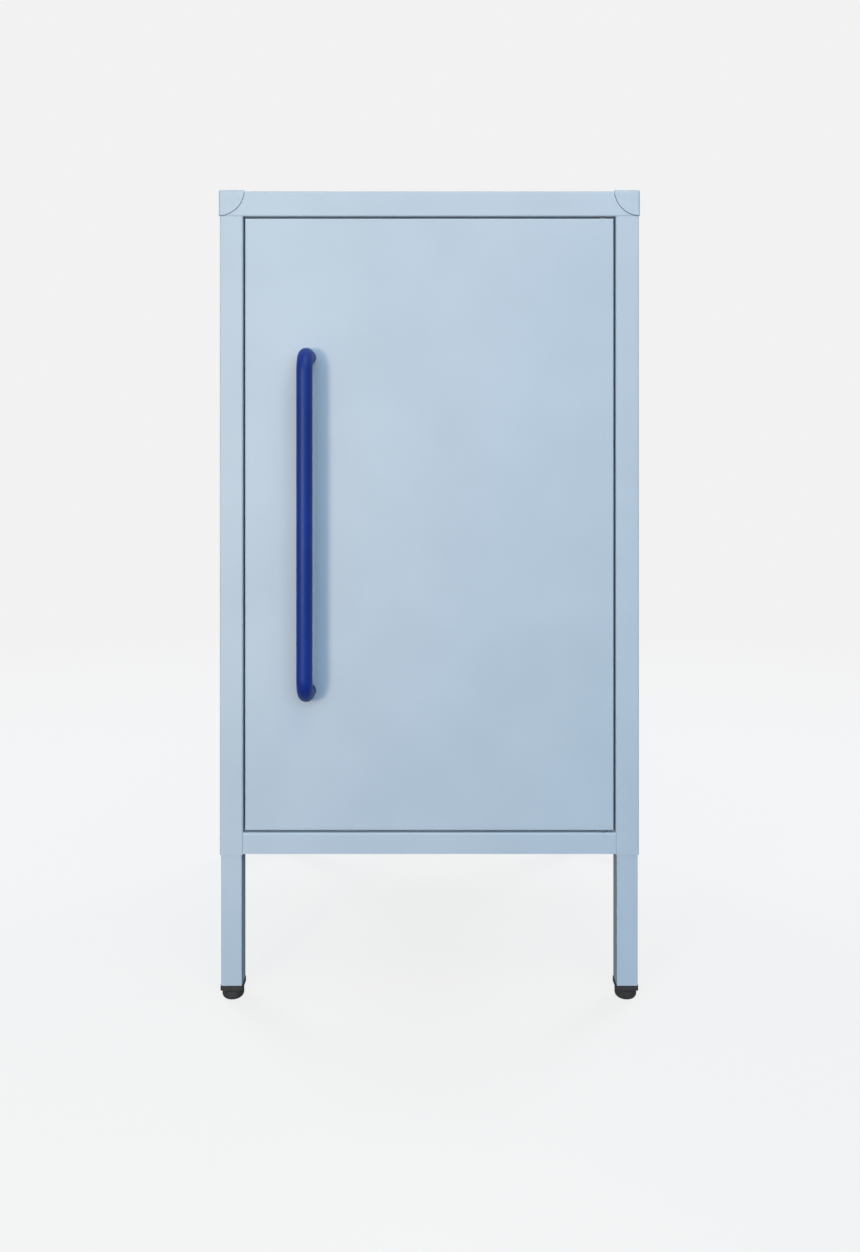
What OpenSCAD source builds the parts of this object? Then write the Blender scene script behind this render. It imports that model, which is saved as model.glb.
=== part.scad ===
// Bedside cabinet: a folded sheet-steel body on square legs, with one inset door, a bow handle,
// one adjustable shelf and levelling feet. Millimetres, +Z up, the door faces -Y.
// The origin is the middle of the footprint, handle included, on the floor.

/* [Body] */
// Width over the posts
body_w = 398; // [320:1:600]
// Depth over the posts
body_d = 398; // [340:1:560]
// Height to the top of the corner caps
total_h = 770; // [640:1:1000]
// Thickness of the folded sheet steel
sheet_t = 1; // [0.7:0.1:1.5]
// Outer radius of the folds in the sheet
fold_r = 2; // [1.8:0.1:3]
// Outer radius of the folds that turn a flange in behind its sheet
hem_r = 1.2; // [1:0.1:2]
// Depth of the lip folded down round the top
lip_h = 24; // [20:1:34]
// Reach of the top's front flange behind the door
lip_past = 10; // [8:1:20]
// Height of the rail under the door
rail_h = 20; // [16:1:40]
// Step of the side and back panels behind the posts' outer faces
panel_recess = 1; // [0.5:0.1:3]
// Width of the flanges folded in along the panels' edges
panel_flange = 14; // [13:0.5:18]

/* [Posts and legs] */
// Side of the square posts
post_w = 22; // [20:0.5:30]
// Wall of the posts
post_wall = 1; // [0.8:0.1:1.5]
// Corner radius of the posts
post_r = 1.6; // [1.5:0.1:3]
// Drop of the posts' ends below the rail
post_drop = 1; // [0:0.5:4]
// Clearance of a leg in its post, each side
leg_fit = 0.1; // [0.05:0.05:0.4]
// Wall of the legs
leg_wall = 1.2; // [0.8:0.1:2]
// Length of a leg in view, from post to foot
leg_show = 124.5; // [60:0.5:200]
// Length of a leg held inside its post
leg_hold = 60; // [40:1:100]

/* [Corner caps] */
// Radius of the spherical joint between a cap and the top
cap_r = 24.4; // [20:0.1:30]
// Gap between a cap and the top's edge
cap_seam = 0.4; // [0.2:0.05:0.8]
// Stand of a cap proud of the sheet
cap_proud = 1; // [0.5:0.1:1.5]
// Radius of a cap's outer edges
cap_edge_r = 2.6; // [1.5:0.1:4]
// Length of a cap's plug in the post
cap_plug = 20; // [10:1:35]
// Wall of a cap's plug
cap_wall = 2; // [1.5:0.1:3]
// Clearance of a cap's plug in the post, each side
cap_fit = 0.2; // [0.1:0.05:0.4]

/* [Door] */
// Gap all round the door
door_gap = 2; // [1.5:0.1:3]
// Thickness of the door over its folds
door_t = 20; // [16:0.5:26]
// Outer radius of the door's folds
door_fold_r = 1.6; // [1.5:0.1:3]
// Width of the flanges folded behind the door
door_flange = 14; // [12:0.5:20]
// Width of the top flange, which carries the strike plate
door_head = 30; // [28:0.5:40]
// Width of the stiffener's crown
stiff_w = 50; // [30:1:80]
// Width of each of the stiffener's feet
stiff_foot = 16; // [10:1:25]
// Space between the stiffener's ends and the door's flanges
stiff_end = 8; // [4:1:30]
// Space between the stiffener's crown and the back of the door
stiff_back = 3; // [1.5:0.5:6]

/* [Hinge] */
// Distance of the hinge axis from the door's edge
hinge_in = 10; // [9.5:0.1:10]
// Distance of the hinge axis behind the door's face
hinge_back = 6; // [5.8:0.1:6.2]
// Diameter of the hinge pins
pin_d = 5; // [4:0.1:5.4]
// Clearance of a pin in its bush, on the radius
pin_fit = 0.05; // [0.02:0.01:0.1]
// Length of the bushes inside the door
bush_len = 12; // [8:0.5:20]
// Wall of the bushes
bush_wall = 1.45; // [1.2:0.05:1.6]
// Stand of a bush's flange out round its body
bush_rim = 1; // [0.6:0.1:1.2]
// Thickness of a bush's flange
bush_flange = 1; // [0.6:0.1:1.2]
// Clearance between the lower bush and its washer
washer_fit = 0.1; // [0.05:0.05:0.3]
// Thickness of the hinge plates
plate_t = 3; // [2:0.5:5]
// Length of the hinge plates across the door
plate_w = 26; // [22:1:40]
// Diameter of the pins' heads
pin_head_d = 9; // [7:0.5:10]
// Height of the pins' heads
pin_head_h = 2; // [1:0.5:3]
// Space between a pin's tip and the end of its bush
pin_tip = 2; // [1:0.5:4]

/* [Handle] */
// Diameter of the handle's tube
handle_d = 15; // [10:0.5:20]
// Wall of the handle's tube
handle_wall = 1.5; // [1:0.1:2.5]
// Height between the handle's feet, centre to centre
handle_span = 316; // [120:1:420]
// Distance of the handle's tube, on its centre line, in front of the door
handle_out = 28.5; // [24:0.5:50]
// Radius of the handle's bends, on the centre line
handle_bend = 16; // [11:0.5:22]
// Distance of the handle from the door's free edge
handle_in = 60; // [30:1:100]
// Height of the handle's middle above the floor
handle_z = 453; // [420:1:520]
// Length of the threaded inserts in the handle's feet
insert_len = 10; // [6:0.5:12]

/* [Inside] */
// Height of the shelf, folds included
shelf_h = 20; // [15:1:30]
// Width of the flanges under the shelf
shelf_flange = 12; // [8:0.5:20]
// Clearance at each side of the shelf
shelf_side = 2; // [1:0.5:6]
// Space between the door's back and the shelf
shelf_front = 7; // [5:0.5:30]
// Diameter of the peg holes
peg_d = 5; // [4:0.5:6]
// Height of the lowest peg holes
peg_z = 346; // [300:1:420]
// Height between peg holes
peg_pitch = 32; // [20:1:40]
// Count of peg holes in a row
peg_count = 7; // [3:1:8]
// Count of holes below the one that holds the shelf
peg_used = 3; // [0:1:7]
// Length of a clip's peg past the post's wall
peg_past = 1; // [0.5:0.5:4]
// Width of a shelf clip
clip_w = 12; // [8:0.5:12.5]
// Depth of a shelf clip, from the flange to its tip
clip_d = 13; // [10:0.5:25]
// Height of a shelf clip
clip_h = 9; // [8:0.5:14]

/* [Catch and stops] */
// Length of the catch across the door
catch_w = 42; // [36:1:60]
// Depth of the catch, front to back
catch_d = 20; // [16:1:24]
// Height of the catch
catch_h = 14; // [12:0.5:18]
// Distance of the catch's middle from the door's free edge
catch_in = 50; // [32:1:90]
// Thickness of the ears that the catch is screwed on by
catch_ear = 4; // [2:0.5:5]
// Length of each ear
catch_ear_w = 10; // [9:0.5:12]
// Width of the magnet between its poles
magnet_w = 14; // [8:0.5:15]
// Depth of the magnet in the housing
magnet_d = 12; // [6:0.5:14]
// Height of the magnet
magnet_h = 7; // [4:0.5:8]
// Thickness of a pole plate
pole_t = 1.2; // [0.8:0.1:1.5]
// Gap between the closed strike plate and the magnet
catch_gap = 0.3; // [0.2:0.1:0.5]
// Thickness of the strike plate
strike_t = 1; // [0.8:0.1:1.5]
// Reach of the strike plate past the poles, each side
strike_past = 6; // [3:0.5:10]
// Height of the rail that stops the door
stop_h = 18; // [12:1:24]
// Depth of the stop rail's lower leg
stop_d = 23; // [20:1:34]
// Thickness of the rubber buffers
buffer_t = 2.7; // [1.5:0.1:4]
// Diameter of the rubber buffers
buffer_d = 9; // [6:0.5:14]
// Gap between the closed door and the buffers
buffer_gap = 0.3; // [0.2:0.1:0.5]

/* [Feet] */
// Height of a levelling foot's dome
dome_h = 9.2; // [7:0.1:14]
// Diameter of a levelling foot's dome
dome_d = 20.6; // [16:0.1:21.5]
// Radius of the dome's lower edge
dome_edge = 4.2; // [3:0.1:6.5]
// Height of the neck over a dome
neck_h = 0.8; // [0.4:0.1:3]
// Diameter of the neck over a dome
neck_d = 15; // [11:0.5:18]
// Diameter of a levelling foot's stud
stud_d = 8; // [6:1:10]
// Length of a stud above its dome
stud_len = 28; // [20:1:40]
// Clearance of a stud in its cap, on the radius
stud_fit = 0.05; // [0.02:0.01:0.1]
// Height of the lip of a foot's cap, below the leg
foot_lip = 4.5; // [3:0.1:8]
// Stand of a foot cap's lip past the leg
foot_proud = 0.6; // [0.4:0.1:2]
// Height of a foot cap's plug in the leg
foot_plug = 20; // [15:1:30]
// Clearance of a foot cap's plug in the leg, each side
foot_fit = 0.1; // [0.05:0.05:0.3]

/* [Fasteners] */
// Diameter of the leg screws
leg_screw_d = 5; // [4:0.5:6]
// Length of a leg screw past the leg's wall
leg_screw_past = 3; // [1:0.5:6]
// Diameter of the handle and catch screws
small_screw_d = 4; // [3:0.5:5]
// Length of a small screw past the sheet, or short of its insert's end
small_screw_past = 1; // [0.5:0.5:3]
// Diameter of the wall-fixing holes in the back panel
wall_hole_d = 6.5; // [4:0.5:8]
// Width between the wall-fixing holes
wall_hole_span = 280; // [150:1:320]
// Drop of the wall-fixing holes below the back panel's edge
wall_hole_drop = 45; // [20:1:100]

/* [Hidden] */
$fn = 96;
eps = 0.01;                                        // overcut that opens a cut cleanly
inner_r = 0.5;                                     // least radius inside a square tube or plug

SIDES = [["left", -1], ["right", 1]];
ENDS = [["front", -1], ["rear", 1]];
CORNERS = [for (e = ENDS, s = SIDES) [str(e[0], "_", s[0]), s[1], e[1]]];

// Colours
BODY_BLUE = "#b3c8da";
HANDLE_BLUE = "#233a86";
BLACK = "#2b2b2b";
STEEL = "#b9bec2";
NYLON = "#e4e6e4";
MAGNET = "#4a4a4c";

// Heights, from the floor up
leg_z0 = dome_h + neck_h + foot_lip;               // lower end of the legs
post_z0 = leg_z0 + leg_show;                       // lower end of the posts
rail_z0 = post_z0 + post_drop;                     // underside of the rail under the door
floor_z = rail_z0 + rail_h;                        // top of the cabinet's floor
top_z = total_h - cap_proud;                       // top of the sheet-steel top
lip_z = top_z - lip_h;                             // lower edge of the top's lip
door_z0 = floor_z + door_gap;
door_z1 = lip_z - door_gap;
door_h = door_z1 - door_z0;

// Plan, from the middle of the body
half_w = body_w / 2;
half_d = body_d / 2;
front_y = -half_d;                                 // face of the posts and of the door
post_x = half_w - post_w / 2;                      // centre lines of the posts
post_y = half_d - post_w / 2;
inner_x = half_w - post_w;                         // faces of the posts towards each other
inner_y = half_d - post_w;
panel_x = half_w - panel_recess;                   // outer face of a side panel
panel_y = half_d - panel_recess;                   // outer face of the back panel
panel_h = lip_z - rail_z0;
front_return = door_t + lip_past;                  // depth of the top's front flange

// Door, hinge and handle
door_w = 2 * (inner_x - door_gap);
door_back = front_y + door_t;
hinge_x = door_w / 2 - hinge_in;
hinge_y = front_y + hinge_back;
bush_d = pin_d + 2 * (pin_fit + bush_wall);
bush_rim_d = bush_d + 2 * bush_rim;
handle_x = handle_in - door_w / 2;
handle_foot_z = [handle_z - handle_span / 2, handle_z + handle_span / 2];
handle_reach = handle_out + handle_d / 2;
frame_y = (handle_reach - cap_proud) / 2;          // centres the footprint on the origin

// Stop rail, catch and shelf
stop_y = door_back + buffer_gap + buffer_t;        // front face of the stop rail
stop_z = lip_z - stop_h;                           // underside of the stop rail
stop_x1 = hinge_x - norm([hinge_in, door_t - hinge_back]) - door_gap;  // clear of the door's swing
catch_x = catch_in - door_w / 2;
catch_y = door_back + strike_t + catch_gap;        // front face of the catch
peg_x = panel_x - fold_r - clip_w / 2;             // line of the peg holes
peg_at = peg_z + peg_pitch * min(peg_used, peg_count - 1);
shelf_z = peg_at + clip_h / 2;                     // underside of the shelf
shelf_y0 = door_back + shelf_front;
shelf_y1 = -shelf_y0;

// Legs and feet
leg_w = post_w - 2 * (post_wall + leg_fit);
leg_r = max(post_r - post_wall - leg_fit, 0) + inner_r;
leg_bore = leg_w - 2 * leg_wall;
leg_screw_z = rail_z0 + rail_h / 2;
foot_w = leg_w + 2 * foot_proud;
foot_z = dome_h + neck_h;                          // underside of a foot's cap

// Screws: a pan head is 1.8 shanks wide, 1.4 across its top and 0.55 of one high
head_wide = 1.8;
head_top = 1.4;
head_high = 0.55;

// ---------------------------------------------------------------- shapes

// A square with round corners, about its centre
module round_square(size, r) {
    square([size - 2 * r, size], center = true);
    square([size, size - 2 * r], center = true);
    for (x = [-1, 1], y = [-1, 1])
        translate([x * (size / 2 - r), y * (size / 2 - r)]) circle(r = r);
}

// The section of a folded pan: its top is at y = 0, with corners of radius r, and its lower
// corners have radius hem, or are square where hem is 0
module fold_profile(w, h, r, hem) {
    translate([-w / 2, hem - h]) square([w, h - r - hem]);
    translate([r - w / 2, hem - h]) square([w - 2 * r, h - hem]);
    for (x = [-1, 1])
        translate([x * (w / 2 - r), -r]) circle(r = r);
    if (hem > 0) {
        translate([hem - w / 2, -h]) square([w - 2 * hem, h - r]);
        for (x = [-1, 1])
            translate([x * (w / 2 - hem), hem - h]) circle(r = hem);
    }
}

// A block under z = 0 whose edges are round: the four top ones by r, the four lower ones by hem
module fold_block(w, d, h, r, hem) {
    intersection() {
        rotate([90, 0, 0]) linear_extrude(d, center = true) fold_profile(w, h, r, hem);
        rotate([90, 0, 90]) linear_extrude(w, center = true) fold_profile(d, h, r, hem);
    }
}

// A pan folded from sheet, open downwards. ret is the width of the flanges folded in at its lower
// edges, as [left, right, front, rear], where front is the edge at -Y and 0 is no flange.
module pan(w, d, h, r, ret = [0, 0, 0, 0]) {
    in = [for (f = ret) max(f, sheet_t)];
    hem = max(ret) > 0 ? hem_r : 0;
    difference() {
        fold_block(w, d, h, r, hem);
        translate([0, 0, -sheet_t])
            fold_block(w - 2 * sheet_t, d - 2 * sheet_t, h - 2 * sheet_t, r - sheet_t, max(hem - sheet_t, 0));
        translate([in[0] - w / 2, in[2] - d / 2, -h - eps])
            cube([w - in[0] - in[1], d - in[2] - in[3], sheet_t + 2 * eps]);
    }
}

// Square tube standing on z = 0
module square_tube(size, wall, r, len) {
    linear_extrude(len)
        difference() {
            round_square(size, r);
            round_square(size - 2 * wall, max(r - wall, inner_r));
        }
}

// A pan-head screw: its head's underside is at z = 0 and its shank points down
module pan_screw(d, len) {
    translate([0, 0, -len]) cylinder(d = d, h = len);
    cylinder(d1 = head_wide * d, d2 = head_top * d, h = head_high * d);
}

// Places a child made for the +X +Y quarter of the body in the quarter of signs sx and sy
module quarter(sx, sy) {
    mirror([sx < 0 ? 1 : 0, 0, 0]) mirror([0, sy < 0 ? 1 : 0, 0]) children();
}

// Moves the body's own frame to the part's
module in_frame() {
    translate([0, frame_y, 0]) children();
}

// ---------------------------------------------------------------- body

// The cut that a corner cap's spherical joint makes in the top
module cap_cuts() {
    for (c = CORNERS)
        quarter(c[1], c[2])
            translate([half_w + cap_proud, half_d + cap_proud, total_h])
                sphere(r = cap_r + cap_seam);
}

// Folded top with a lip all round: the flanges are open at the corners for the caps' plugs
module top_panel() color(BODY_BLUE) in_frame() {
    ret = [panel_flange, panel_flange, front_return, panel_flange];
    notch = post_w - post_wall;
    difference() {
        translate([0, 0, top_z]) pan(body_w, body_d, lip_h, fold_r, ret);
        cap_cuts();
        for (c = CORNERS)
            quarter(c[1], c[2])
                translate([half_w - notch, half_d - notch, lip_z - eps])
                    cube([notch - sheet_t, notch - sheet_t, sheet_t + 2 * eps]);
        translate([hinge_x, hinge_y, lip_z - eps]) cylinder(d = pin_d, h = sheet_t + 2 * eps);
    }
}

// Moulded corner: a spherical piece of a round-edged block, with a hollow plug for the post
module corner_cap(sx, sy) color(BODY_BLUE) in_frame() quarter(sx, sy) {
    plug_w = post_w - 2 * (post_wall + cap_fit);
    intersection() {
        translate([half_w + cap_proud, half_d + cap_proud, total_h]) sphere(r = cap_r);
        translate([half_w + cap_proud, half_d + cap_proud, total_h]) corner_block(2 * cap_r);
    }
    translate([post_x, post_y, lip_z - cap_plug])
        difference() {
            linear_extrude(cap_plug + lip_h / 2) round_square(plug_w, 2 * inner_r);
            translate([0, 0, -eps])
                linear_extrude(cap_plug) round_square(plug_w - 2 * cap_wall, inner_r);
        }
}

// A block in the corner below the origin, with its three edges there round
module corner_block(size) {
    intersection() {
        translate([0, 0, -size]) linear_extrude(size) corner_profile(size);
        rotate([90, 0, 0]) linear_extrude(size) corner_profile(size);
        translate([-size, 0, 0]) rotate([90, 0, 90]) linear_extrude(size) corner_profile(size);
    }
}

// A square below and left of the origin, with its corner there round
module corner_profile(size) {
    translate([-size, -size]) square([size - cap_edge_r, size]);
    translate([-size, -size]) square([size, size - cap_edge_r]);
    translate([-cap_edge_r, -cap_edge_r]) circle(r = cap_edge_r);
}

// Row of holes for shelf pegs, through the panel's flange and the post's wall behind it
module peg_holes() {
    for (i = [0:peg_count - 1])
        translate([peg_x, inner_y - sheet_t - eps, peg_z + i * peg_pitch])
            rotate([-90, 0, 0]) cylinder(d = peg_d, h = sheet_t + post_wall + 2 * eps);
}

module post(sx, sy) color(BODY_BLUE) in_frame() quarter(sx, sy)
    difference() {
        translate([post_x, post_y, post_z0])
            square_tube(post_w, post_wall, post_r, lip_z - post_z0);
        peg_holes();
        leg_screw_hole();
    }

// The hole for a leg's screw, through post and leg
module leg_screw_hole() {
    translate([inner_x - eps, post_y, leg_screw_z])
        rotate([0, 90, 0]) cylinder(d = leg_screw_d, h = post_w / 2);
}

// A panel with its edges folded in, standing upright. Its outer face is at z = 0 and its height
// lies along y. The lower edge stays flat, because the floor's lip is welded there.
module upright_panel(w) {
    difference() {
        pan(w, panel_h, panel_flange, fold_r);
        translate([sheet_t - w / 2, -panel_h / 2 - eps, -panel_flange - eps])
            cube([w - 2 * sheet_t, fold_r + 2 * eps, panel_flange - sheet_t + eps]);
    }
}

module side_panel(sx) color(BODY_BLUE) in_frame()
    difference() {
        quarter(sx, 1)
            translate([panel_x, 0, rail_z0 + panel_h / 2])
                rotate([90, 0, 90]) upright_panel(2 * inner_y);
        for (sy = [-1, 1]) quarter(sx, sy) peg_holes();
    }

module back_panel() color(BODY_BLUE) in_frame()
    difference() {
        translate([0, panel_y, rail_z0 + panel_h / 2])
            rotate([90, 0, 180]) upright_panel(2 * inner_x);
        for (x = [-0.5, 0.5])
            translate([x * wall_hole_span, panel_y - sheet_t - eps, lip_z - wall_hole_drop])
                rotate([-90, 0, 0]) cylinder(d = wall_hole_d, h = sheet_t + 2 * eps);
        for (x = [-inner_x, inner_x])
            translate([x, post_y, leg_screw_z])
                rotate([0, 90, 0])
                    cylinder(d = head_wide * leg_screw_d + 2 * sheet_t, h = 4 * sheet_t, center = true);
    }

// The floor: its front lip is the rail under the door, and its other lips are welded to the panels
module bottom_tray() color(BODY_BLUE) in_frame() {
    tray_w = 2 * (panel_x - sheet_t);
    tray_back = panel_y - sheet_t;
    difference() {
        translate([0, (front_y + tray_back) / 2, floor_z])
            pan(tray_w, tray_back - front_y, rail_h, fold_r);
        for (c = CORNERS)
            quarter(c[1], c[2])
                translate([inner_x - (c[2] > 0 ? fold_r : 0), inner_y - fold_r, rail_z0 - eps])
                    cube([body_w, body_d, rail_h + 2 * eps]);
        translate([hinge_x, hinge_y, floor_z - sheet_t - eps])
            cylinder(d = pin_d, h = sheet_t + 2 * eps);
    }
}

// A channel under the top's front flange: it stops the door and carries catch and buffers
module stop_rail() color(BODY_BLUE)
    difference() {
        in_frame()
            translate([-inner_x, stop_y, stop_z])
                rotate([90, 0, 90])
                    linear_extrude(inner_x + stop_x1)
                        difference() {
                            union() {
                                square([front_y + front_return - stop_y, stop_h]);
                                square([stop_d, stop_h / 2]);
                            }
                            translate([sheet_t, sheet_t]) square([body_d, stop_h - 2 * sheet_t]);
                        }
        at_catch() catch_screw_places()
            translate([0, 0, -eps]) cylinder(d = small_screw_d, h = sheet_t + 2 * eps);
    }

// ---------------------------------------------------------------- legs and feet

module leg(sx, sy) color(BODY_BLUE) in_frame() quarter(sx, sy)
    difference() {
        translate([post_x, post_y, leg_z0]) square_tube(leg_w, leg_wall, leg_r, leg_show + leg_hold);
        leg_screw_hole();
    }

module leg_screws() color(STEEL) in_frame()
    for (c = CORNERS)
        quarter(c[1], c[2])
            translate([inner_x, post_y, leg_screw_z])
                rotate([0, -90, 0]) pan_screw(leg_screw_d, post_wall + leg_fit + leg_wall + leg_screw_past);

// Moulded plug for the end of a leg, with a lip under the leg and a bore for the foot's stud
module foot_cap(sx, sy) color(BLACK) in_frame() quarter(sx, sy)
    translate([post_x, post_y, foot_z])
        difference() {
            union() {
                linear_extrude(foot_lip) round_square(foot_w, leg_r + foot_proud);
                linear_extrude(foot_lip + foot_plug) round_square(leg_bore - 2 * foot_fit, inner_r);
            }
            translate([0, 0, -eps])
                cylinder(r = stud_d / 2 + stud_fit, h = foot_lip + foot_plug + 2 * eps);
        }

// A round-bottomed levelling foot, which stands on a small flat
module glide_dome(sx, sy) color(BLACK) in_frame() quarter(sx, sy)
    translate([post_x, post_y, 0]) {
        rotate_extrude() {
            square([dome_d / 2 - dome_edge, dome_h]);
            translate([0, dome_edge]) square([dome_d / 2, dome_h - dome_edge]);
            translate([dome_d / 2 - dome_edge, dome_edge])
                intersection() {
                    circle(r = dome_edge);
                    translate([0, -dome_edge]) square([dome_edge, dome_edge]);
                }
        }
        translate([0, 0, dome_h - eps]) cylinder(d = neck_d, h = neck_h + eps - washer_fit);
    }

module glide_stud(sx, sy) color(STEEL) in_frame() quarter(sx, sy)
    translate([post_x, post_y, foot_z - washer_fit]) cylinder(d = stud_d, h = stud_len);

// ---------------------------------------------------------------- shelf

module shelf() color(BODY_BLUE) in_frame()
    translate([0, (shelf_y0 + shelf_y1) / 2, shelf_z + shelf_h])
        pan(2 * (panel_x - sheet_t - shelf_side), shelf_y1 - shelf_y0, shelf_h, fold_r,
            [shelf_flange, shelf_flange, shelf_flange, shelf_flange]);

// Four clips, each pegged through the flange and into the post, with a sloping underside
module shelf_clips() color(NYLON) in_frame()
    for (c = CORNERS)
        quarter(c[1], c[2]) {
            translate([peg_x - clip_w / 2, inner_y - sheet_t, shelf_z])
                rotate([90, 0, 90])
                    linear_extrude(clip_w)
                        polygon([[0, 0], [-clip_d, 0], [-clip_d, -clip_h / 3], [0, -clip_h]]);
            translate([peg_x, inner_y - sheet_t - eps, peg_at])
                rotate([-90, 0, 0]) cylinder(d = peg_d, h = sheet_t + post_wall + peg_past);
        }

// ---------------------------------------------------------------- hinge, fixed half

// A plate welded inside the fold, where it backs the sheet round the pin. z is its underside.
module hinge_plate(z) color(STEEL) in_frame()
    difference() {
        translate([inner_x - plate_w - sheet_t, front_y + fold_r, z])
            cube([plate_w, front_return - fold_r - sheet_t, plate_t]);
        translate([hinge_x, hinge_y, z - eps]) cylinder(d = pin_d, h = plate_t + 2 * eps);
    }

// A headed pin: it points along dir from the far face of its plate
module hinge_pin(z_head, dir) color(STEEL) in_frame()
    translate([hinge_x, hinge_y, z_head])
        mirror([0, 0, dir < 0 ? 1 : 0]) {
            cylinder(d = pin_d, h = plate_t + sheet_t + door_gap + bush_len - pin_tip);
            mirror([0, 0, 1]) cylinder(d = pin_head_d, h = pin_head_h);
        }

module hinge_washer() color(NYLON) in_frame()
    translate([hinge_x, hinge_y, floor_z])
        difference() {
            cylinder(d = bush_rim_d, h = door_gap - bush_flange - washer_fit);
            translate([0, 0, -eps]) cylinder(r = pin_d / 2, h = door_gap);
        }

// ---------------------------------------------------------------- catch and buffers

// The catch's own frame: the middle of its front face, under the stop rail
module at_catch() {
    in_frame() translate([catch_x, catch_y, stop_z]) children();
}

// Places a child at each of the catch's two screws
module catch_screw_places() {
    for (s = [-1, 1])
        translate([s * (catch_w - catch_ear_w) / 2, catch_d / 2, 0]) children();
}

// A block for the magnet, with a pocket open at the front, between two screwed ears
module catch_housing() color(NYLON) at_catch()
    difference() {
        union() {
            translate([-catch_w / 2, 0, -catch_ear]) cube([catch_w, catch_d, catch_ear]);
            translate([catch_ear_w - catch_w / 2, 0, -catch_h])
                cube([catch_w - 2 * catch_ear_w, catch_d, catch_h]);
        }
        translate([-magnet_w / 2 - pole_t, -eps, -(catch_h + magnet_h) / 2])
            cube([magnet_w + 2 * pole_t, magnet_d + eps, magnet_h]);
        catch_screw_places()
            translate([0, 0, -catch_ear - eps]) cylinder(d = small_screw_d, h = catch_ear + 2 * eps);
    }

module catch_magnet() color(MAGNET) at_catch()
    translate([-magnet_w / 2, 0, -(catch_h + magnet_h) / 2]) cube([magnet_w, magnet_d, magnet_h]);

module catch_poles() color(STEEL) at_catch()
    for (x = [-magnet_w / 2 - pole_t, magnet_w / 2])
        translate([x, -catch_gap / 2, -(catch_h + magnet_h) / 2])
            cube([pole_t, magnet_d + catch_gap / 2, magnet_h]);

module catch_screws() color(STEEL) at_catch()
    catch_screw_places()
        translate([0, 0, -catch_ear]) mirror([0, 0, 1]) pan_screw(small_screw_d, catch_ear + sheet_t + small_screw_past);

module door_buffers() color(BLACK) in_frame()
    for (x = [catch_x, hinge_x - (catch_in - hinge_in)])
        translate([x, stop_y, lip_z - stop_h / 2])
            rotate([90, 0, 0]) cylinder(d1 = buffer_d, d2 = buffer_d - buffer_t, h = buffer_t);

// ---------------------------------------------------------------- door

// The door's skin, folded back on all four sides and in again behind
module door_shell() color(BODY_BLUE) in_frame()
    difference() {
        translate([0, front_y, (door_z0 + door_z1) / 2])
            rotate([90, 0, 0])
                pan(door_w, door_h, door_t, door_fold_r, [door_flange, door_flange, door_flange, door_head]);
        for (z = [door_z0, door_z1])
            translate([hinge_x, hinge_y, z]) cylinder(d = bush_d, h = 4 * sheet_t, center = true);
        for (z = handle_foot_z)
            translate([handle_x, front_y - eps, z])
                rotate([-90, 0, 0]) cylinder(d = small_screw_d, h = sheet_t + 2 * eps);
    }

// A hat-section channel, welded upright to the back of the skin
module door_stiffener() color(BODY_BLUE) in_frame() {
    depth = door_t - sheet_t - stiff_back;
    z0 = door_z0 + door_flange + stiff_end;
    z1 = door_z1 - door_head - stiff_end;
    translate([0, front_y + sheet_t, z0])
        linear_extrude(z1 - z0) {
            translate([-stiff_w / 2, depth - sheet_t]) square([stiff_w, sheet_t]);
            for (s = [0, 1])
                mirror([s, 0]) {
                    translate([stiff_w / 2 - sheet_t, 0]) square([sheet_t, depth]);
                    translate([stiff_w / 2 - sheet_t, 0]) square([stiff_foot, sheet_t]);
                }
        }
}

// A flanged bush: its flange stands out of the door on the side that dir says
module door_bush(z, dir) color(NYLON) in_frame()
    translate([hinge_x, hinge_y, z])
        mirror([0, 0, dir < 0 ? 1 : 0])
            difference() {
                union() {
                    cylinder(d = bush_rim_d, h = bush_flange);
                    translate([0, 0, -bush_len]) cylinder(d = bush_d, h = bush_len + eps);
                }
                translate([0, 0, -bush_len - eps])
                    cylinder(r = pin_d / 2 + pin_fit, h = bush_len + bush_flange + 2 * eps);
            }

// The steel plate behind the door that the magnet holds
module strike_plate() color(STEEL) in_frame()
    translate([catch_x, door_back + strike_t / 2, stop_z - catch_h / 2])
        cube([magnet_w + 2 * (pole_t + strike_past), strike_t, magnet_h + strike_past], center = true);

// ---------------------------------------------------------------- handle

// The handle's line as a solid of diameter d: two feet, two quarter bends and the bar between.
// Its feet run on by extra.
module bow(d, extra) {
    bar = handle_span - 2 * handle_bend;
    cylinder(d = d, h = bar, center = true);
    for (s = [0, 1])
        mirror([0, 0, s])
            translate([0, handle_bend, bar / 2]) {
                rotate([90, 0, -90])
                    rotate_extrude(angle = 90)
                        translate([handle_bend, 0]) circle(d = d);
                translate([0, 0, handle_bend])
                    rotate([-90, 0, 0]) cylinder(d = d, h = handle_out - handle_bend + extra);
            }
}

module handle() color(HANDLE_BLUE) in_frame()
    translate([handle_x, front_y - handle_out, handle_z])
        difference() {
            bow(handle_d, 0);
            bow(handle_d - 2 * handle_wall, eps);
        }

// Threaded plugs in the handle's feet
module handle_inserts() color(STEEL) in_frame()
    for (z = handle_foot_z)
        translate([handle_x, front_y, z])
            rotate([90, 0, 0])
                difference() {
                    cylinder(d = handle_d - 2 * handle_wall, h = insert_len);
                    translate([0, 0, -eps]) cylinder(d = small_screw_d, h = insert_len + 2 * eps);
                }

module handle_screws() color(STEEL) in_frame()
    for (z = handle_foot_z)
        translate([handle_x, front_y + sheet_t, z])
            rotate([-90, 0, 0]) pan_screw(small_screw_d, sheet_t + insert_len - small_screw_past);

// ---------------------------------------------------------------- the assembly

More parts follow.
